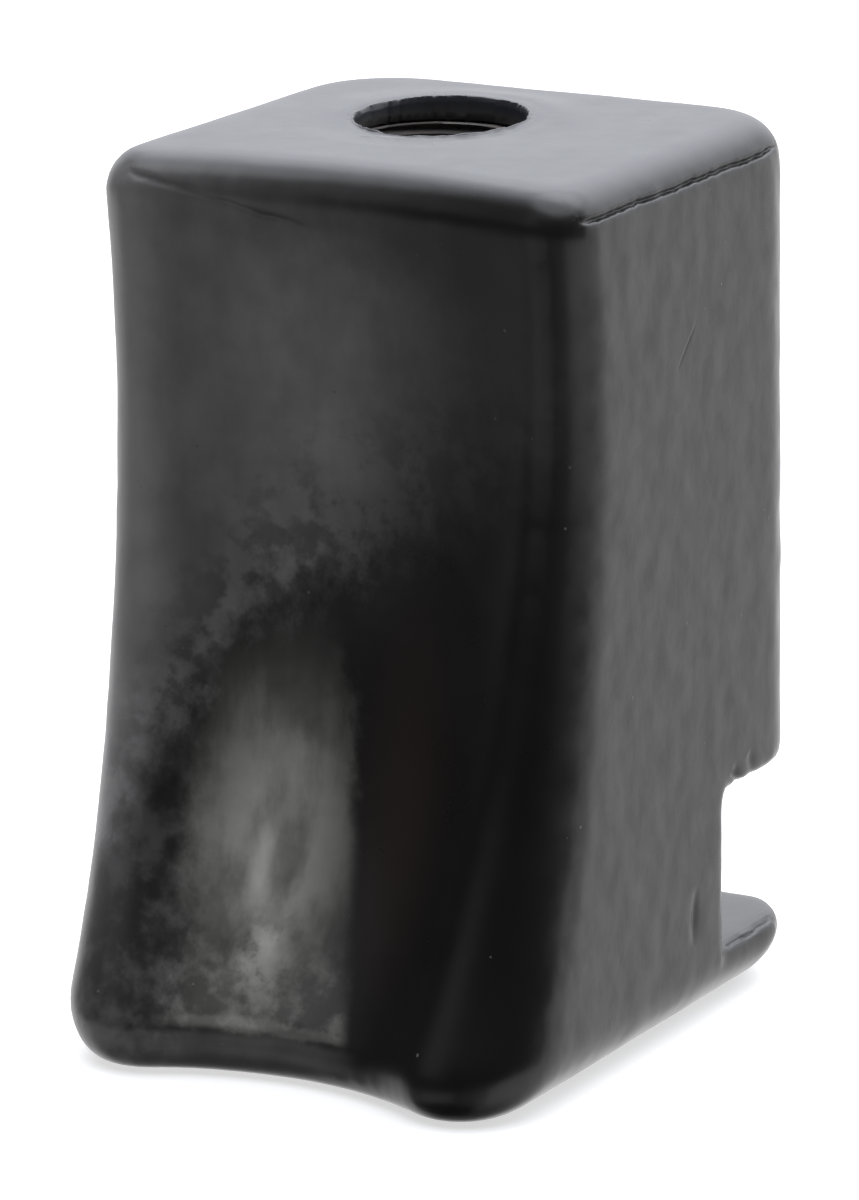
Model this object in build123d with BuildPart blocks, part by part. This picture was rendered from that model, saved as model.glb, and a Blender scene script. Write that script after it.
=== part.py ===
"""Moulded rubber bump block on a welded steel insert.

Millimetres, +Z up, saddle face towards -Y. The origin is on the floor at mid-width, level with the socket in Y.
The block is a loft of plan outlines; its hollow front, toes, floor rounding and corners come from those outlines.
"""
from build123d import *

import math
import os

# Block
WIDTH = 86.0
HEIGHT = 142.3
BACK_TOP_Y = 33.5
BACK_DRAFT = 2.5
REAR_CORNER_R = 17.8
# Front edge line, seen from the side: one arc, most recessed at EDGE_LIFT
EDGE_Y = -49.5
EDGE_LIFT = 114.5
EDGE_ARC_R = 148.0
# Hollow across the front and the rounding of its two edges, at the top and at the floor
HOLLOW_TOP = 6.8
HOLLOW_FLOOR = 36.4
HORN_TOP_R = 7.6
HORN_FLOOR_R = 15.2
HORN_BLEND = 124.0
TOP_EDGE_R = 6.5
FLOOR_EDGE_R = 10.8
SECTIONS = (14.0, 32.0, 56.0, 84.0, 114.0, HEIGHT)
FLOOR_SECTIONS = (0.0, 0.5, 2.0, 4.5, 7.5, 10.8, 14.0)
# Rear slot and the lip under it
SLOT_WALL_Y = 2.0
SLOT_FLOOR = 11.0
SLOT_TOP = 36.8
SLOT_CUT = 60.0
SLOT_EDGE_R = 2.0
LIP_SHORT = 3.5
LIP_EDGE_R = 2.6
# Socket with a 3/4-14 pipe thread, drawn at the thread's crests
SOCKET_X = -7.0
MOUTH_R = 13.5
MOUTH_DEPTH = 3.5
SOCKET_R = 17.5
SOCKET_LENGTH = 26.0
THREAD_CREST_R = 12.1
CAP_R = 15.0
CAP_THICK = 3.0
MOUTH_EDGE_R = 0.6
# Steel plates
PLATE_WIDTH = 60.0
PLATE_THICK = 5.0
PLATE_FOOT = 4.0
SPINE_FOOT_HEIGHT = 37.5
SPINE_WIDTH = 32.0
SPINE_Y = -8.0
TOE_PLATE_THICK = 4.0
TOE_PLATE_BACK_Y = 27.0
KEY_HOLE_R = 7.0
KEY_LIFT = 60.0
KEY_PITCH = 25.0
TOE_KEY_X = 17.0
TOE_KEY_Y = 12.0
WELD_LEG = 2.5
SPINE_BEAD = 22.0

half = WIDTH / 2
socket_top = HEIGHT - MOUTH_DEPTH
socket_foot = socket_top - SOCKET_LENGTH
cap_foot = socket_foot - CAP_THICK
spine_back = SPINE_Y + PLATE_THICK / 2
spine_front = SPINE_Y - PLATE_THICK / 2
toe_top = PLATE_FOOT + TOE_PLATE_THICK


def edge_y(z):
    """Y of the front edge line at height z, before its corners are rounded."""
    return EDGE_Y - EDGE_ARC_R + math.sqrt(EDGE_ARC_R**2 - (z - EDGE_LIFT) ** 2)


def hollow(z):
    """Depth of the front's hollow at height z, which deepens towards the floor."""
    return HOLLOW_TOP + (HOLLOW_FLOOR - HOLLOW_TOP) * (1 - z / HEIGHT) ** 2


def horn_r(z):
    """Radius of the two front edges at height z."""
    return HORN_TOP_R + (HORN_FLOOR_R - HORN_TOP_R) * max(0.0, 1 - z / HORN_BLEND) ** 2


def back_y(z):
    """Y of the back face, which leans out by its mould draft towards the floor."""
    return BACK_TOP_Y + BACK_DRAFT * (1 - z / HEIGHT)


def floor_inset(z):
    """How far the rounding of the floor edge draws the outline in at height z."""
    below = max(0.0, FLOOR_EDGE_R - z)
    return FLOOR_EDGE_R - math.sqrt(FLOOR_EDGE_R**2 - below**2)


def plan_outline(z):
    """The block's plan at height z: flat sides and back, hollow front, four rounded corners."""
    inset = floor_inset(z)
    side = half - inset
    back = back_y(z) - inset
    depth = hollow(z)
    hollow_radius = (half**2 + depth**2) / (2 * depth)
    deepest = edge_y(z) + depth
    corner = deepest - hollow_radius + math.sqrt((hollow_radius + inset) ** 2 - side**2)
    with BuildSketch(Plane.XY.offset(z)) as plan:
        with BuildLine():
            ThreePointArc((-side, corner), (0, deepest + inset), (side, corner))
            Polyline((side, corner), (side, back), (-side, back), (-side, corner))
        make_face()
        fillet(plan.vertices().group_by(Axis.Y)[0], horn_r(z) - inset)
        fillet(plan.vertices().group_by(Axis.Y)[-1], REAR_CORNER_R - inset)
    return plan


def outer_block():
    """The rubber's outside, with its rear slot and every edge rounded."""
    with BuildPart() as block:
        loft(sections=[plan_outline(z).sketch for z in SECTIONS])
        fillet(block.edges().group_by(Axis.Z)[-1], TOP_EDGE_R)
        loft(sections=[plan_outline(z).sketch for z in FLOOR_SECTIONS])
        with BuildSketch(Plane.YZ):
            with Locations((SLOT_WALL_Y, SLOT_FLOOR)):
                Rectangle(SLOT_CUT, SLOT_TOP - SLOT_FLOOR, align=(Align.MIN, Align.MIN))
            with Locations((back_y(0) - LIP_SHORT, 0)):
                Rectangle(SLOT_CUT, SLOT_TOP, align=(Align.MIN, Align.MIN))
        extrude(amount=WIDTH, both=True, mode=Mode.SUBTRACT)
        for level, radius in ((SLOT_TOP, SLOT_EDGE_R), (SLOT_FLOOR, LIP_EDGE_R)):
            rim = block.edges().filter_by_position(Axis.Z, level - 0.01, level + 0.01)
            fillet(rim.filter_by_position(Axis.Y, SLOT_WALL_Y + 1, BACK_TOP_Y + 2 * BACK_DRAFT), radius)
    return block


# The insert: socket, cap, spine plate and toe plate, with their welds
with BuildPart() as pipe_socket:
    with BuildSketch(Plane.XY.offset(socket_foot)):
        with Locations((SOCKET_X, 0)):
            Circle(SOCKET_R)
            Circle(THREAD_CREST_R, mode=Mode.SUBTRACT)
    extrude(amount=SOCKET_LENGTH)

with BuildPart() as socket_cap:
    with BuildSketch(Plane.XY.offset(cap_foot)):
        with Locations((SOCKET_X, 0)):
            Circle(CAP_R)
    extrude(amount=CAP_THICK)

# a fillet bead round the cap, under the socket's end face
with BuildPart() as cap_weld:
    with BuildSketch(Plane.XZ):
        with BuildLine():
            Polyline(
                (SOCKET_X + CAP_R, socket_foot),
                (SOCKET_X + CAP_R + WELD_LEG, socket_foot),
                (SOCKET_X + CAP_R, socket_foot - WELD_LEG),
                close=True,
            )
        make_face()
    revolve(axis=Axis((SOCKET_X, 0, 0), (0, 0, 1)))

# narrow up to the cap and wide at the foot, with holes that key the rubber through it
with BuildPart() as spine_plate:
    with BuildSketch(Plane.XZ.offset(-spine_back)):
        with Locations((SOCKET_X, PLATE_FOOT)):
            Rectangle(SPINE_WIDTH, cap_foot - PLATE_FOOT, align=(Align.CENTER, Align.MIN))
        with Locations((0, PLATE_FOOT)):
            Rectangle(PLATE_WIDTH, SPINE_FOOT_HEIGHT, align=(Align.CENTER, Align.MIN))
        with Locations((SOCKET_X, KEY_LIFT), (SOCKET_X, KEY_LIFT + KEY_PITCH)):
            Circle(KEY_HOLE_R, mode=Mode.SUBTRACT)
    extrude(amount=PLATE_THICK)

with BuildPart() as toe_plate:
    with BuildSketch(Plane.XY.offset(PLATE_FOOT)):
        with Locations((0, spine_back)):
            Rectangle(PLATE_WIDTH, TOE_PLATE_BACK_Y - spine_back, align=(Align.CENTER, Align.MIN))
        with Locations((-TOE_KEY_X, TOE_KEY_Y), (TOE_KEY_X, TOE_KEY_Y)):
            Circle(KEY_HOLE_R, mode=Mode.SUBTRACT)
    extrude(amount=TOE_PLATE_THICK)


def corner_bead(plane, corner, leg_x, leg_y, length):
    """A straight triangular weld bead, centred on its plane, with its right angle at the corner."""
    with BuildPart() as bead:
        with BuildSketch(plane):
            with BuildLine():
                x, y = corner
                Polyline((x, y), (x + leg_x, y), (x, y + leg_y), close=True)
            make_face()
        extrude(amount=length / 2, both=True)
    return bead


socket_plane = Plane.YZ.offset(SOCKET_X)
with BuildPart() as spine_welds:
    add(corner_bead(socket_plane, (spine_back, cap_foot), WELD_LEG, -WELD_LEG, SPINE_BEAD).part)
    add(corner_bead(socket_plane, (spine_front, cap_foot), -WELD_LEG, -WELD_LEG, SPINE_BEAD).part)

toe_weld = corner_bead(Plane.YZ, (spine_back, toe_top), WELD_LEG, WELD_LEG, PLATE_WIDTH)

insert = {
    "pipe_socket": pipe_socket,
    "socket_cap": socket_cap,
    "cap_weld": cap_weld,
    "spine_plate": spine_plate,
    "spine_welds": spine_welds,
    "toe_plate": toe_plate,
    "toe_weld": toe_weld,
}

# The rubber is moulded round the insert and is open above the thread
with BuildPart() as rubber_body:
    add(outer_block().part)
    with BuildSketch(Plane.XY.offset(socket_foot)):
        with Locations((SOCKET_X, 0)):
            Circle(MOUTH_R)
    extrude(amount=HEIGHT - socket_foot + 1, mode=Mode.SUBTRACT)
    for piece in insert.values():
        add(piece.part, mode=Mode.SUBTRACT)
    mouth = rubber_body.edges().filter_by(GeomType.CIRCLE).filter_by_position(Axis.Z, HEIGHT - 0.01, HEIGHT + 0.01)
    fillet(mouth, MOUTH_EDGE_R)

os.makedirs("parts", exist_ok=True)
for name, piece in {"rubber_body": rubber_body, **insert}.items():
    piece.part.label = name
    export_step(piece.part, f"parts/{name}.step")
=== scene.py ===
"""Moulded rubber bump block on its welded steel insert: finished surfaces, stage, light and camera.

Places are millimetres in the helpers and metres in the mesh. Saddle face towards -Y, threaded mouth on top.
"""
import math

import bmesh
import bpy
from mathutils import Matrix, Vector, noise
from mathutils.bvhtree import BVHTree


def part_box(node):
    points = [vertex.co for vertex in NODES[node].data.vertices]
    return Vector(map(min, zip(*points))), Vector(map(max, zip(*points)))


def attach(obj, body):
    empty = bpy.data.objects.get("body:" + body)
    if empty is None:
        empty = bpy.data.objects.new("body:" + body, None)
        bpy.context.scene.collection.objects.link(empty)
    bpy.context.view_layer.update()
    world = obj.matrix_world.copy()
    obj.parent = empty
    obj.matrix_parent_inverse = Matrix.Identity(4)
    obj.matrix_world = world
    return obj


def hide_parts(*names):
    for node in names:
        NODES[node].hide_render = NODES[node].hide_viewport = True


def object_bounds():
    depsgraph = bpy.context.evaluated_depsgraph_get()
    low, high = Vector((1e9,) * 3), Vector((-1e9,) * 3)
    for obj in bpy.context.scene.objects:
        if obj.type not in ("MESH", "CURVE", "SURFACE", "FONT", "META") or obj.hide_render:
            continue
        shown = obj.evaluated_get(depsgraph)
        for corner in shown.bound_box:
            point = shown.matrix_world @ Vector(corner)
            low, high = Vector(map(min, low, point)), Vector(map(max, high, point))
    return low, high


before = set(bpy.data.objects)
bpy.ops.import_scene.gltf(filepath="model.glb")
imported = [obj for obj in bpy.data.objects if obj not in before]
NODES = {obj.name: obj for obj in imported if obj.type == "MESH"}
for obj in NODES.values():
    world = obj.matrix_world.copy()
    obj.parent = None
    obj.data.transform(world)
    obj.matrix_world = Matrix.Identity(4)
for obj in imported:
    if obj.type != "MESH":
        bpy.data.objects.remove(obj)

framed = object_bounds()
MM = 0.001
SCENE = bpy.context.scene
HIGH = framed[1]
HALF_WIDTH = HIGH.x / MM
HEIGHT = HIGH.z / MM

# Skin of the rubber block: net size, smoothing rounds, margin round the steel, and each finer net's reach
SKIN_VOXEL = 1.02
SKIN_SMOOTHING = 6
HIDDEN_MARGIN = 0.9
FINE_REACHES = (1.8, 1.1, 0.6)

# Mouth of the socket and its moulded rim
SOCKET_LOW, SOCKET_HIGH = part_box("pipe_socket")
SOCKET_X = (SOCKET_LOW.x + SOCKET_HIGH.x) / 2 / MM
SOCKET_Y = (SOCKET_LOW.y + SOCKET_HIGH.y) / 2 / MM
SOCKET_R = (SOCKET_HIGH.x - SOCKET_LOW.x) / 2 / MM
SOCKET_TOP = SOCKET_HIGH.z / MM
SOCKET_FOOT = SOCKET_LOW.z / MM
MOUTH_R = 13.5
RIM_R = 13.9
RIM_WIDTH = 0.75
RIM_RISE = 0.62

# Pipe thread, 14 threads to the inch
THREAD_PITCH = 25.4 / 14
THREAD_CREST_R = 12.1
THREAD_DEPTH = 1.15
THREAD_FLAT = 0.22
THREAD_STEPS = 96

# Knit lines: heights, the slope of the two that slant, and the place that each slope turns about
SIDE_KNIT_HEIGHT = 138.1
SIDE_KNIT_SLOPE = 0.0035
SIDE_KNIT_Y = -12
FRONT_KNIT_HEIGHT = 139.2
FRONT_KNIT_SLOPE = -0.235
FRONT_KNIT_X = -36
LIP_KNIT_HEIGHT = 10.3

# Bloom and painted reflection on the saddle: its border's steep and flat runs, as slope and height in the middle,
# then how far out it reaches on both sides and the height of the thin line at its foot
STEEP_BORDER = (1.9, 103)
FLAT_BORDER = (0.55, 80)
SADDLE_EDGE = 41.2
FOOT_LINE = 9.0

# Finish of the rubber: depth of the fine bumps, and how far below the top its bluish grey tint starts and is full
BUMP_DEPTH = 0.030
LID_DEPTH = 2.5
LID_EDGE = 0.6
# Radius of the dusted mouth wall. It holds at every height, so the dust also lies on the slot's wall and the lip
THROAT_R = 14.2
THROAT_SOFT = 0.5

# Colours of the rubber, its bloom with painted reflection, its dust and the bluish grey of its top
BLACK = (0.0072, 0.0062, 0.0056, 1)
GREY_BLACK = (0.012, 0.0113, 0.0112, 1)
BROWN = (0.030, 0.020, 0.017, 1)
DIMPLE_DUST = (0.40, 0.39, 0.39, 1)
MOUTH_DUST = (0.40, 0.39, 0.385, 1)
HAZE_WITH_PAINTED_REFLECTION = (0.37, 0.36, 0.355, 1)
WORN_BLOOM_WITH_PAINTED_REFLECTION = (0.58, 0.575, 0.525, 1)
TOP_BLUE_GREY = (0.026, 0.028, 0.038, 1)
SPECK = (0.11, 0.105, 0.10, 1)

# Colours of the steel, clean and worn, and of the weld metal, its soot and its tarnish
BLACKENED = (0.12, 0.115, 0.11, 1)
BLACKENED_WORN = (0.20, 0.18, 0.17, 1)
PLATE = (0.36, 0.35, 0.34, 1)
PLATE_WORN = (0.20, 0.17, 0.15, 1)
WELD = (0.20, 0.18, 0.17, 1)
WELD_SOOT = (0.05, 0.045, 0.05, 1)
WELD_TARNISH = (0.28, 0.22, 0.16, 1)

# Floor: half-width in metres, its two tones and the glow that keeps it pale
FLOOR_SIZE = 9.0
FLOOR_TONES = (0.56, 0.56, 0.57, 1), (0.60, 0.60, 0.60, 1)
FLOOR_GLOW = 0.62

# Light: powers of the parts of the surroundings, and their tints below and above the horizon
ALL_ROUND = 0.035
LEFT_LOW_POWER = 1.4
LEFT_LEVEL_POWER = 1.2
RIGHT_LOW_POWER = 1.0
RIGHT_LEVEL_POWER = 1.1
BEHIND_POWER = 0.39
HIGH_BEHIND_POWER = 1.3
OVERHEAD_POWER = 2.3
TINTS = (0.99, 0.985, 1.0, 1), (0.92, 0.945, 1.0, 1)

# Soft panels: left and right compass angle, low and high height angle, soft edge, all in degrees, and power
PANELS = (
    (-34, -14, 8, 44, 8, 0.08),
    (10, 52, -26, -6, 8, 0.20),
    (-56, -30, 12, 44, 10, 0.30),
    (-42, 2, -30, -9, 8, 0.50),
    (12, 60, -44, -22, 10, 0.20),
    (-72, -36, -34, -12, 10, 0.25),
)

# Camera: place in metres, turns in degrees, lens and sensor in millimetres
CAMERA_PLACE = (0.5103, -0.9399, 0.3468)
CAMERA_ROUND = 28.95
CAMERA_RAISED = 75.19
CAMERA_ROLL = -0.34
CAMERA_LENS = 206.6
CAMERA_SENSOR = 36


# --- Shader maths ---------------------------------------------------------------------------------

class Wire:
    """A socket of a node tree that takes part in Python arithmetic by adding Math nodes."""

    def __init__(self, recipe, socket):
        self.recipe = recipe
        self.socket = socket

    def maths(self, operation, *values):
        inputs = dict(enumerate(values))
        return self.recipe.node("ShaderNodeMath", {"operation": operation}, inputs)

    def __add__(self, other):
        return self.maths("ADD", self, other)

    def __radd__(self, other):
        return self.maths("ADD", other, self)

    def __sub__(self, other):
        return self.maths("SUBTRACT", self, other)

    def __rsub__(self, other):
        return self.maths("SUBTRACT", other, self)

    def __mul__(self, other):
        return self.maths("MULTIPLY", self, other)

    def __rmul__(self, other):
        return self.maths("MULTIPLY", other, self)

    def power(self, other):
        return self.maths("POWER", self, other)

    def size(self):
        return self.maths("ABSOLUTE", self)

    def smaller(self, other):
        return self.maths("MINIMUM", self, other)


class Recipe:
    """Nodes of one material, or of the surroundings, with the helpers that its finish is written in."""

    def __init__(self, tree):
        self.tree = tree
        tree.nodes.clear()

    def node(self, kind, settings=None, inputs=None, output=0):
        made = self.tree.nodes.new(kind)
        for name, value in (settings or {}).items():
            setattr(made, name, value)
        for name, value in (inputs or {}).items():
            if isinstance(value, Wire):
                self.tree.links.new(value.socket, made.inputs[name])
            else:
                made.inputs[name].default_value = value
        return Wire(self, made.outputs[output]) if made.outputs else None

    def place(self):
        return self.node("ShaderNodeTexCoord", output="Object")

    def moved(self, vector, shift=(0, 0, 0), stretch=(1, 1, 1)):
        inputs = {"Vector": vector, "Location": shift, "Scale": stretch}
        return self.node("ShaderNodeMapping", None, inputs)

    def parts(self, vector):
        return [self.node("ShaderNodeSeparateXYZ", None, {0: vector}, axis) for axis in range(3)]

    def grain(self, vector, size, detail=3.0, roughness=0.55):
        """Cloudy noise, 0 to 1, whose lumps are about `size` millimetres."""
        inputs = {"Vector": vector, "Scale": 1 / (size * MM), "Detail": detail, "Roughness": roughness}
        return self.node("ShaderNodeTexNoise", None, inputs, "Fac")

    def cells(self, vector, size):
        """Distance from the middles of scattered cells about `size` millimetres across."""
        inputs = {"Vector": vector, "Scale": 1 / (size * MM)}
        return self.node("ShaderNodeTexVoronoi", None, inputs, "Distance")

    def step(self, value, start, end, low=0.0, high=1.0):
        """Goes smoothly from low to high as value goes from start to end."""
        inputs = {"Value": value, "From Min": start, "From Max": end, "To Min": low, "To Max": high}
        return self.node("ShaderNodeMapRange", {"interpolation_type": "SMOOTHSTEP"}, inputs)

    def blend(self, share, first, second):
        """Colour mix: first where share is 0 and second where it is 1."""
        settings = {"data_type": "RGBA", "clamp_factor": True}
        return self.node("ShaderNodeMix", settings, {0: share, 6: first, 7: second}, 2)

    def spot(self, vector, centre, reach):
        """1 at a place given in millimetres, falling smoothly to 0 at its reach along each axis."""
        scale = tuple(1 / (r * MM) for r in reach)
        shift = tuple(-c / r for c, r in zip(centre, reach))
        local = self.moved(vector, shift, stretch=scale)
        away = self.node("ShaderNodeVectorMath", {"operation": "LENGTH"}, {0: local}, "Value")
        return self.step(away, 1.0, 0.0)

    def bump(self, height, rise):
        return self.node("ShaderNodeBump", None, {"Height": height, "Distance": rise * MM, "Strength": 1.0})

    def surface(self, **inputs):
        named = {name.replace("_", " ").title().replace("Ior", "IOR"): v for name, v in inputs.items()}
        shader = self.node("ShaderNodeBsdfPrincipled", None, named)
        self.node("ShaderNodeOutputMaterial", None, {"Surface": shader})


def new_material(name):
    material = bpy.data.materials.new(name)
    material.use_nodes = True
    return material, Recipe(material.node_tree)


# --- Finishes -------------------------------------------------------------------------------------

def saddle_bloom_and_painted_reflection(mix, place, across, up, cloud, mottle, streaked):
    """Shares of grey on the saddle, partly real bloom and partly painted reflection: the worn patch low down, and
    the haze above a slanting border.
    """
    wander = 2.0 * MM * (mix.grain(place, 7, 4, 0.6) - 0.5)
    ragged = 15.0 * MM * (mix.grain(mix.moved(place, stretch=(1, 1, 0.7)), 4.2, 6, 0.68) - 0.5)
    front = mix.step(mix.parts(place)[1], -32 * MM, -43 * MM)
    front = front * mix.step(across.size(), 43.1 * MM, SADDLE_EDGE * MM)

    steep, flat = (slope * across + height * MM for slope, height in (STEEP_BORDER, FLAT_BORDER))
    border = steep.smaller(flat)
    above = mix.step(up - border + ragged * 2.0, -8 * MM, 8 * MM)
    crown = mix.step(up + 0.35 * across + ragged * 0.5, 140 * MM, 122 * MM)
    fade = mix.step(across + ragged * 0.8, 27 * MM, -9 * MM)
    column = mix.spot(place, (-8, -43, 102), (17, 30, 36))
    # The haze is partly real bloom and partly painted reflection: it lightens the left and middle of the hollow,
    # and a column in it, where a highlight shows.
    haze_and_painted_reflection = above * (0.04 + 0.37 * fade) * (0.22 + 0.78 * crown) + above * column * 0.26
    low_down = mix.step(up - border, 34 * MM, 4 * MM)
    haze_and_painted_reflection = haze_and_painted_reflection * (1.0 - 0.55 * low_down * mix.step(mottle, 0.56, 0.40))
    haze_and_painted_reflection = haze_and_painted_reflection * (0.74 + 0.34 * mix.step(cloud, 0.34, 0.62))
    haze_and_painted_reflection = haze_and_painted_reflection * (0.88 + 0.24 * mix.step(streaked, 0.3, 0.7))

    right = across + 0.16 * up + wander * 2 + ragged * mix.step(up, 30 * MM, 66 * MM) * 0.8
    inside = mix.step(right, 11.5 * MM, 7.5 * MM)
    inside = inside * mix.step(across + 0.11 * up + ragged * 0.7, -23 * MM, -15 * MM)
    # The worn patch is partly real bloom and partly painted reflection: a lighter patch low on the left of the
    # saddle.
    worn = mix.spot(place, (-10.5, -50, 34), (21, 90, 43))
    worn = worn * (0.50 + 0.52 * mix.step(streaked, 0.34, 0.64) + 0.5 * (mottle - 0.5))
    worn = worn * mix.step(up + ragged, 13 * MM, 27 * MM, 0.3, 1.0)
    strip = mix.step(up, 24 * MM, 14 * MM) * mix.step(up + wander * 3, 7.4 * MM, 9.6 * MM)
    strip = strip * (0.10 + 0.24 * mix.step(mottle, 0.40, 0.66))
    ridge = mix.spot(place, (-11.2, -52, 33), (2.2, 30, 13)) * 0.24
    smear = mix.spot(place, (-8.6, -55, 20), (6.0, 24, 10)) * mix.step(mottle, 0.40, 0.58) * 0.42
    foot = mix.step((up - FOOT_LINE * MM - wander * 1.4).size(), 1.3 * MM, 0.3 * MM) * 0.16
    bloom_patch_and_painted_reflection = inside * (worn * 0.80 + ridge + smear + foot + strip)
    flecks = mix.step(across, -14 * MM, -24 * MM) * mix.step(up, 60 * MM, 26 * MM)
    flecks = flecks * (0.05 + 0.17 * mix.step(mottle + 0.5 * (cloud - 0.5), 0.38, 0.68))
    # Painted highlight: the left edge of the saddle is lighter, more so higher up.
    rim = mix.step(across + ragged * 0.2, -28 * MM, -38 * MM) * mix.step(up, 8 * MM, 48 * MM, 0.10, 0.38)
    rim = rim * mix.step(up, 142 * MM, 133 * MM)
    under = mix.step(up + wander, 8.2 * MM, 6.6 * MM) * mix.step(across, 14 * MM, 4 * MM)
    under = under * (0.10 + 0.20 * mottle)
    # Both shares are partly real bloom and partly painted reflection.
    return front * bloom_patch_and_painted_reflection, front * (haze_and_painted_reflection + flecks + rim + under)


def moulded_rubber():
    """Satin black rubber: bloom with painted reflection on the saddle, dimpled sides, a bluish grey top and dust
    in the mouth.
    """
    material, mix = new_material("moulded_black_rubber")
    place = mix.place()
    across, along, up = mix.parts(place)

    cloud = mix.grain(place, 17, 4)
    mottle = mix.grain(place, 5.5, 5, 0.6)
    fine = mix.grain(place, 0.55, 3, 0.6)
    streaked = mix.grain(mix.moved(place, stretch=(1, 1, 0.30)), 7.5, 4, 0.55)
    specks = mix.step(mix.cells(place, 4.1), 0.085, 0.05) * mix.step(mix.grain(place, 9, 1), 0.56, 0.6)
    dimples = mix.grain(mix.moved(place, stretch=(1, 1, 0.7)), 3.6, 2, 0.5)
    flank = mix.step(across.size(), 40 * MM, 42.6 * MM)
    bloom_patch_and_painted_reflection, haze_and_painted_reflection = saddle_bloom_and_painted_reflection(mix, place, across, up, cloud, mottle, streaked)
    lid = mix.step(up, (HEIGHT - LID_DEPTH) * MM, (HEIGHT - LID_EDGE) * MM)
    brown = mix.spot(place, (12, -46, 44), (13, 40, 46))

    east, north = across - SOCKET_X * MM, along - SOCKET_Y * MM
    throat = mix.step((east * east + north * north).power(0.5), THROAT_R * MM, (THROAT_R - THROAT_SOFT) * MM)

    colour = mix.blend(cloud * 0.5 + mottle * 0.5, BLACK, GREY_BLACK)
    layers = (
        (brown * 0.8, BROWN),
        (flank * 0.035 * mix.step(dimples, 0.38, 0.62), DIMPLE_DUST),
        (throat * (0.10 + 0.12 * mottle), MOUTH_DUST),
        # Haze and patch on the saddle: partly real bloom, partly painted reflection.
        (haze_and_painted_reflection, HAZE_WITH_PAINTED_REFLECTION),
        (bloom_patch_and_painted_reflection, WORN_BLOOM_WITH_PAINTED_REFLECTION),
        # Bluish grey tint on the top face.
        (lid * 0.7, TOP_BLUE_GREY),
        (specks, SPECK),
    )
    for share, tint in layers:
        colour = mix.blend(share, colour, tint)

    rough = 0.25 + 0.08 * cloud + 0.07 * (mottle - 0.5) + 0.15 * bloom_patch_and_painted_reflection + 0.12 * haze_and_painted_reflection
    rough = rough + 0.04 * (streaked - 0.5) + 0.25 * specks

    height = fine * 0.22 + mottle * 1.1 + streaked * 0.15 + specks * 1.2 + flank * dimples * 1.6
    mix.surface(base_color=colour, roughness=rough, normal=mix.bump(height, BUMP_DEPTH), ior=1.5)
    return material


def steel(name, base, worn, rough, scale_size):
    """Bare or blackened steel: worn mill scale in patches, drawn lines and pits."""
    material, mix = new_material(name)
    place = mix.place()
    patches = mix.grain(place, scale_size, 5, 0.62)
    lines = mix.grain(mix.moved(place, stretch=(1, 1, 0.08)), 0.7, 3)
    pits = mix.step(mix.cells(place, 2.3), 0.16, 0.04)
    share = mix.step(patches, 0.42, 0.66)
    colour = mix.blend(share, base, worn)
    colour = mix.blend(pits * 0.6, colour, tuple(c * 0.35 for c in base[:3]) + (1,))
    roughness = rough + 0.16 * share + 0.10 * lines + 0.15 * pits
    normal = mix.bump(patches * 0.6 + lines * 0.4 - pits * 0.8, 0.04)
    mix.surface(base_color=colour, roughness=roughness, normal=normal, metallic=1.0)
    return material


def weld_bead():
    material, mix = new_material("weld_metal")
    place = mix.place()
    ripple = mix.node("ShaderNodeTexWave", {"wave_type": "RINGS"},
                      {"Vector": place, "Scale": 420.0, "Distortion": 2.5, "Detail": 2.0}, "Fac")
    soot = mix.grain(place, 3.0, 5, 0.6)
    colour = mix.blend(mix.step(soot, 0.35, 0.7), WELD, WELD_SOOT)
    colour = mix.blend(ripple * 0.25, colour, WELD_TARNISH)
    normal = mix.bump(ripple * 0.8 + soot * 0.4, 0.12)
    mix.surface(base_color=colour, roughness=0.38 + 0.25 * soot, normal=normal, metallic=0.9)
    return material


# --- Meshes ---------------------------------------------------------------------------------------

def finished(name, bm, material, node):
    """Makes the piece's object from its bmesh, on the block's body, and lets it stand for its CAD node."""
    mesh = bpy.data.meshes.new(name)
    bm.to_mesh(mesh)
    bm.free()
    for face in mesh.polygons:
        face.use_smooth = True
    mesh.materials.append(material)
    piece = bpy.data.objects.new(name, mesh)
    SCENE.collection.objects.link(piece)
    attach(piece, "root")
    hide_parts(node)
    return piece


def merged_copy(node):
    bm = bmesh.new()
    bm.from_mesh(NODES[node].data)
    bmesh.ops.remove_doubles(bm, verts=bm.verts, dist=0.001 * MM)
    return bm


def remeshed(bm, voxel):
    """The same solid as an even net of small faces."""
    mesh = bpy.data.meshes.new("even_net")
    bm.to_mesh(mesh)
    holder = bpy.data.objects.new("even_net", mesh)
    SCENE.collection.objects.link(holder)
    net = holder.modifiers.new("net", "REMESH")
    net.mode = "VOXEL"
    net.voxel_size = voxel * MM
    graph = bpy.context.evaluated_depsgraph_get()
    even = bpy.data.meshes.new_from_object(holder.evaluated_get(graph))
    result = bmesh.new()
    result.from_mesh(even)
    bpy.data.objects.remove(holder)
    bpy.data.meshes.remove(mesh)
    bpy.data.meshes.remove(even)
    return result


def smoothstep(value, start, end):
    share = min(max((value - start) / (end - start), 0.0), 1.0)
    return share * share * (3 - 2 * share)


def lumps(place, size, seed=0.0):
    """Noise of -1 to 1 with lumps of about `size` millimetres."""
    return noise.noise(place / size + Vector((seed, seed * 0.7, seed * 1.3)))


def mouth_distance(place):
    return math.hypot(place.x - SOCKET_X, place.y - SOCKET_Y)


def segment_distance(place, start, end):
    """How far a place is from the line between two ends, and how far along that line, 0 to 1."""
    share = min(max((place - start).dot(end - start) / (end - start).length_squared, 0.0), 1.0)
    return (place - start.lerp(end, share)).length, share


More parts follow.
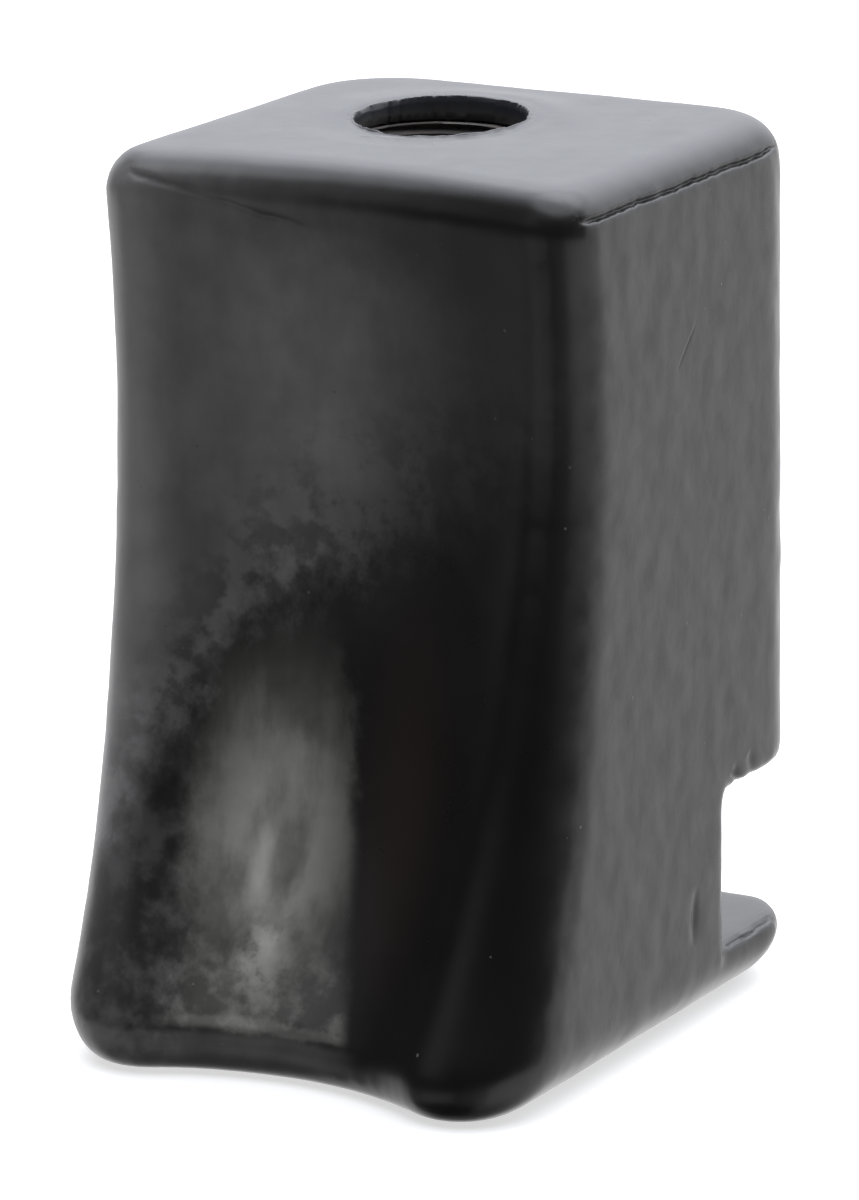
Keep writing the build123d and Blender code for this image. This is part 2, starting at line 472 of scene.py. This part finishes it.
def side_knit(place):
    """How far a place is from the knit line under the right top edge, and how much of it shows there."""
    along = Vector((0, place.y, 0))
    wander = 0.35 * lumps(along, 6.0, 3.1) + 0.16 * lumps(along, 1.7, 8.2)
    height = SIDE_KNIT_HEIGHT + SIDE_KNIT_SLOPE * (place.y - SIDE_KNIT_Y) + wander
    shown = smoothstep(place.y, -45.5, -42.0) * smoothstep(place.y, 23.0, 17.0)
    shown *= smoothstep(place.x, HALF_WIDTH - 5, HALF_WIDTH - 2.5)
    return abs(place.z - height), shown


def front_knit(place):
    """The same for the knit line that falls from the left top corner across the front."""
    across = Vector((place.x, 0, 0))
    wander = 0.3 * lumps(across, 5.0, 5.4) + 0.15 * lumps(across, 1.5, 2.2)
    height = FRONT_KNIT_HEIGHT + FRONT_KNIT_SLOPE * (place.x - FRONT_KNIT_X) + wander
    shown = smoothstep(place.x, -37.5, -35.0) * smoothstep(place.x, -3.0, -14.0)
    shown *= smoothstep(place.y, -35.0, -40.0)
    return abs(place.z - height), shown


def lip_knit(place):
    """The same for the knit line along the right end of the lip."""
    height = LIP_KNIT_HEIGHT + 0.2 * lumps(Vector((0, place.y, 0)), 2.5, 1.4)
    shown = smoothstep(place.y, 4.5, 6.5) * smoothstep(place.y, 24.0, 20.0)
    shown *= smoothstep(place.x, HALF_WIDTH - 5, HALF_WIDTH - 2.5)
    return abs(place.z - height), shown


# Knit lines, each with its groove's half-width and depth
KNITS = ((side_knit, 0.36, 0.85), (front_knit, 0.65, 0.20), (lip_knit, 0.28, 0.40))

# Dents and scratches: two ends, half-width and depth
SCARS = (
    ((43.0, -9.4, 14.5), (43.0, -8.6, 24.5), 1.0, 0.30),
    ((43.0, -9.0, 116.2), (43.0, -16.0, 109.4), 0.28, 0.08),
    ((43.2, 4.2, 40.4), (40.8, 9.4, 36.6), 0.9, 0.80),
    ((43.2, 9.6, 41.6), (40.6, 13.6, 36.8), 1.2, 0.45),
    ((-11.4, -18.9, 142.3), (-9.0, -17.6, 142.3), 0.5, 0.14),
    ((-7.2, -16.8, 142.3), (-3.4, -15.2, 142.3), 0.5, 0.14),
)


def knit_cut(place):
    """Depth of the knit lines' grooves, with the shallow dip on both sides of them, and of the scars."""
    depth = 0.0
    for knit, half_width, deep in KNITS:
        away, shown = knit(place)
        if shown <= 0 or away > 8 * half_width:
            continue
        ragged = 0.85 + 0.25 * lumps(place, 2.4, 4.4)
        depth += shown * ragged * deep * math.exp(-(away / half_width) ** 2)
        depth += shown * 0.1 * deep * math.exp(-(away / (3 * half_width)) ** 2)
    for start, end, half_width, deep in SCARS:
        away, share = segment_distance(place, Vector(start), Vector(end))
        depth += deep * (1 - (2 * share - 1) ** 2) * math.exp(-(away / half_width) ** 2)
    return depth


def rim_rise(place):
    """Height of the torn bead of flash round the mouth, and the dip outside it."""
    away = mouth_distance(place)
    angle = math.atan2(place.y - SOCKET_Y, place.x - SOCKET_X)
    round_place = Vector((math.cos(angle), math.sin(angle), 0))
    ragged = 0.85 + 0.28 * lumps(round_place, 0.30, 6.6) + 0.12 * lumps(round_place, 0.10, 1.2)
    bead = max(ragged, 0.1) * RIM_RISE * math.exp(-((away - RIM_R) / (RIM_WIDTH / 2)) ** 2)
    dip = 0.30 * math.exp(-((away - RIM_R - 2.3) / 1.5) ** 2) * (0.55 + 0.45 * math.cos(angle - 0.15))
    tilt = smoothstep(away, 26.0, RIM_R - 1) * (0.25 + 0.65 * (place.y - SOCKET_Y) / MOUTH_R)
    return bead - dip + tilt


def skin_relief(place, facing):
    """How far the rubber's surface stands off its true form, in millimetres."""
    relief = 0.09 * lumps(place, 15.0, 1.0) + 0.030 * lumps(place, 6.0, 2.0)
    rough_patch = math.exp(-((place.x + 16) / 22) ** 2 - ((place.z - 30) / 38) ** 2)
    rough_patch *= smoothstep(place.y, -38.0, -44.0)
    middle = math.exp(-((place.z - 86) / 14) ** 2) * smoothstep(place.y, -34.0, -40.0)
    relief += (0.004 + 0.016 * rough_patch + 0.010 * middle) * lumps(place, 2.3, 3.0)
    relief += 0.010 * rough_patch * lumps(place, 1.2, 4.0)
    flank = smoothstep(max(abs(facing.x), facing.y), 0.5, 0.9)
    tall = Vector((place.x, place.y, place.z * 0.8))
    relief += flank * 0.055 * lumps(tall, 3.2, 5.0)
    relief += flank * 0.11 * lumps(tall, 6.0, 7.0)
    return relief - knit_cut(place)


def needs_finer(place, reach):
    """Whether a place is near enough to a knit line, a scar or the mouth's rim to need finer faces."""
    if any(shown > 0 and away < reach for away, shown in (knit(place) for knit, _, _ in KNITS)):
        return True
    if any(segment_distance(place, Vector(start), Vector(end))[0] < reach for start, end, _, _ in SCARS):
        return True
    return place.z > HEIGHT - 2.5 and -0.9 < mouth_distance(place) - RIM_R < reach


def inner_boxes():
    """Boxes of the steel parts, a little grown: the rubber that lies on them keeps its true form."""
    grown = Vector((HIDDEN_MARGIN,) * 3)
    return [(low / MM - grown, high / MM + grown) for low, high in
            (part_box(n) for n in NODES if n != "rubber_body")]


def rubber_block(material):
    """The skin: the CAD form as an even net, smoothed where no steel lies under it, with its relief."""
    form = merged_copy("rubber_body")
    true_form = BVHTree.FromBMesh(form)
    bm = remeshed(form, SKIN_VOXEL)
    form.free()
    for vert in bm.verts:
        vert.co = true_form.find_nearest(vert.co)[0]

    hidden = inner_boxes()

    def on_steel(place):
        return any(all(a <= p <= b for a, p, b in zip(low, place, high)) for low, high in hidden)

    skin = [v for v in bm.verts if not on_steel(v.co / MM)]
    for _ in range(SKIN_SMOOTHING):
        bmesh.ops.smooth_vert(bm, verts=skin, factor=0.5, use_axis_x=True, use_axis_y=True, use_axis_z=True)
    for reach in FINE_REACHES:
        fine = [e for e in bm.edges if needs_finer((e.verts[0].co + e.verts[1].co) / 2 / MM, reach)]
        bmesh.ops.subdivide_edges(bm, edges=fine, cuts=1, use_grid_fill=True)

    bm.normal_update()
    places = []
    for vert in bm.verts:
        place = vert.co / MM
        if on_steel(place):
            continue
        shift = vert.normal * skin_relief(place, vert.normal)
        if place.z > HEIGHT - 3 and mouth_distance(place) < 27:
            shift += Vector((0, 0, rim_rise(place) * smoothstep(place.z, HEIGHT - 3, HEIGHT - 0.8)))
        places.append((vert, vert.co + shift * MM))
    for vert, co in places:
        vert.co = co
    bmesh.ops.recalc_face_normals(bm, faces=bm.faces)
    return finished("rubber_block", bm, material, "rubber_body")


def threaded_socket(material):
    """Pipe socket with its helical thread: one tooth profile, repeated and screwed a full turn."""
    bm = bmesh.new()
    crest, root = THREAD_CREST_R, THREAD_CREST_R + THREAD_DEPTH
    slope = (THREAD_PITCH - 2 * THREAD_FLAT) / 2
    tooth = ((0, crest), (THREAD_FLAT, crest), (THREAD_FLAT + slope, root), (2 * THREAD_FLAT + slope, root))
    turns = math.ceil((SOCKET_TOP - SOCKET_FOOT) / THREAD_PITCH) + 3
    start = SOCKET_FOOT - 2 * THREAD_PITCH
    profile = []
    for turn in range(turns):
        for rise, radius in tooth:
            height = start + turn * THREAD_PITCH + rise
            profile.append(bm.verts.new(Vector((SOCKET_X + radius, SOCKET_Y, height)) * MM))
    edges = [bm.edges.new(pair) for pair in zip(profile, profile[1:])]
    bmesh.ops.spin(bm, geom=profile + edges, cent=Vector((SOCKET_X, SOCKET_Y, 0)) * MM, axis=(0, 0, 1),
                   angle=2 * math.pi, steps=THREAD_STEPS, dvec=(0, 0, THREAD_PITCH / THREAD_STEPS * MM))
    bmesh.ops.remove_doubles(bm, verts=bm.verts, dist=0.005 * MM)
    for height, up in ((SOCKET_TOP, 1), (SOCKET_FOOT, -1)):
        whole = bm.verts[:] + bm.edges[:] + bm.faces[:]
        bmesh.ops.bisect_plane(bm, geom=whole, plane_co=(0, 0, height * MM), plane_no=(0, 0, up), clear_outer=True)
    inner = [e for e in bm.edges if e.is_boundary]
    wall = bmesh.ops.create_circle(bm, cap_ends=False, radius=SOCKET_R * MM, segments=THREAD_STEPS,
                                   matrix=Matrix.Translation(Vector((SOCKET_X, SOCKET_Y, SOCKET_FOOT)) * MM))
    ring = list(dict.fromkeys(e for v in wall["verts"] for e in v.link_edges))
    raised = bmesh.ops.extrude_edge_only(bm, edges=ring)["geom"]
    top_verts = [g for g in raised if isinstance(g, bmesh.types.BMVert)]
    bmesh.ops.translate(bm, verts=top_verts, vec=(0, 0, (SOCKET_TOP - SOCKET_FOOT) * MM))
    outer = ring + [g for g in raised if isinstance(g, bmesh.types.BMEdge) and g.is_boundary]
    for height in (SOCKET_FOOT, SOCKET_TOP):
        level = [e for e in inner + outer if e.is_valid and
                 all(abs(v.co.z - height * MM) < 0.01 * MM for v in e.verts)]
        bmesh.ops.bridge_loops(bm, edges=level)
    bmesh.ops.recalc_face_normals(bm, faces=bm.faces)
    return finished("threaded_socket", bm, material, "pipe_socket")


# --- Stage ----------------------------------------------------------------------------------------

def pale_floor():
    """Pale floor under the block, left out of reflections so that the soft panels alone shape them."""
    bm = bmesh.new()
    bmesh.ops.create_grid(bm, x_segments=8, y_segments=8, size=FLOOR_SIZE)
    mesh = bpy.data.meshes.new("floor")
    bm.to_mesh(mesh)
    bm.free()
    material, mix = new_material("pale_floor")
    seen = mix.node("ShaderNodeLightPath", output="Is Camera Ray")
    tone = mix.blend(mix.grain(mix.place(), 400, 2), *FLOOR_TONES)
    floor = mix.node("ShaderNodeBsdfPrincipled", None,
                     {"Base Color": tone, "Roughness": 0.9, "Emission Color": (1, 1, 1, 1),
                      "Emission Strength": FLOOR_GLOW})
    clear = mix.node("ShaderNodeBsdfTransparent")
    mix.node("ShaderNodeOutputMaterial", None,
             {"Surface": mix.node("ShaderNodeMixShader", None, {0: seen, 1: clear, 2: floor})})
    mesh.materials.append(material)
    floor_object = bpy.data.objects.new("floor", mesh)
    SCENE.collection.objects.link(floor_object)


def surroundings():
    """Soft white panels round the block, placed by compass angle (0 is -Y, 90 is +X) and by height angle."""
    world = bpy.data.worlds.new("soft_studio")
    world.use_nodes = True
    SCENE.world = world
    mix = Recipe(world.node_tree)
    direction = mix.node("ShaderNodeTexCoord", output="Generated")
    x, y, z = mix.parts(direction)
    compass = x.maths("ARCTAN2", x, 0 - y) * (180 / math.pi)
    height = z.maths("ARCSINE", z) * (180 / math.pi)

    def panel(left, right, low, high, soft, power):
        """Soft-edged panel between two compass angles and two height angles, in degrees."""
        inside = mix.step(compass, left - soft, left + soft) * mix.step(compass, right + soft, right - soft)
        inside = inside * mix.step(height, low - soft / 2, low + soft / 2)
        return inside * mix.step(height, high + soft / 2, high - soft / 2) * power

    low = mix.step(height, -7, -12)
    level = 1 - low
    left = low * mix.step(compass, -66, -84) * LEFT_LOW_POWER
    left = left + level * mix.step(compass, -97, -112) * LEFT_LEVEL_POWER
    right = low * mix.step(compass, 34, 62) * RIGHT_LOW_POWER
    right = right + level * mix.step(compass, 98, 122) * RIGHT_LEVEL_POWER
    behind = mix.step(compass.size(), 110, 140)
    raised = mix.step(height, 3, 12) * behind * BEHIND_POWER
    light = (left + right) * mix.step(height, -72, -38, 0.2, 1.0) + raised + ALL_ROUND
    light = light + mix.step(height, 18, 36) * behind * HIGH_BEHIND_POWER
    for edges_and_power in PANELS:
        light = light + panel(*edges_and_power)
    light = light + mix.step(height, 44, 60) * OVERHEAD_POWER
    tint = mix.blend(mix.step(height, -6, 12), *TINTS)
    shade = mix.node("ShaderNodeBackground", None, {"Color": tint, "Strength": light})
    white = mix.node("ShaderNodeBackground", None, {"Color": (1, 1, 1, 1), "Strength": 1.0})
    seen = mix.node("ShaderNodeLightPath", output="Is Camera Ray")
    mix.node("ShaderNodeOutputWorld", None,
             {"Surface": mix.node("ShaderNodeMixShader", None, {0: seen, 1: shade, 2: white})})


def camera():
    """Long lens, a little above the block and round to its right."""
    lens = bpy.data.cameras.new("camera")
    lens.sensor_width = CAMERA_SENSOR
    lens.lens = CAMERA_LENS
    holder = bpy.data.objects.new("camera", lens)
    SCENE.collection.objects.link(holder)
    turn = Matrix.Identity(4)
    for degrees, axis in ((CAMERA_ROUND, "Z"), (CAMERA_RAISED, "X"), (CAMERA_ROLL, "Z")):
        turn = turn @ Matrix.Rotation(math.radians(degrees), 4, axis)
    holder.matrix_world = Matrix.Translation(CAMERA_PLACE) @ turn
    SCENE.camera = holder


camera()
surroundings()
pale_floor()
SCENE.view_settings.view_transform = "Standard"

rubber_block(moulded_rubber())
dark_steel = steel("blackened_socket_steel", BLACKENED, BLACKENED_WORN, 0.50, 6)
threaded_socket(dark_steel)

bare_steel = steel("bare_plate_steel", PLATE, PLATE_WORN, 0.32, 9)
weld_metal = weld_bead()
for node, finish in (("socket_cap", dark_steel), ("spine_plate", bare_steel), ("toe_plate", bare_steel),
                     ("cap_weld", weld_metal), ("spine_welds", weld_metal), ("toe_weld", weld_metal)):
    NODES[node].data.materials.clear()
    NODES[node].data.materials.append(finish)
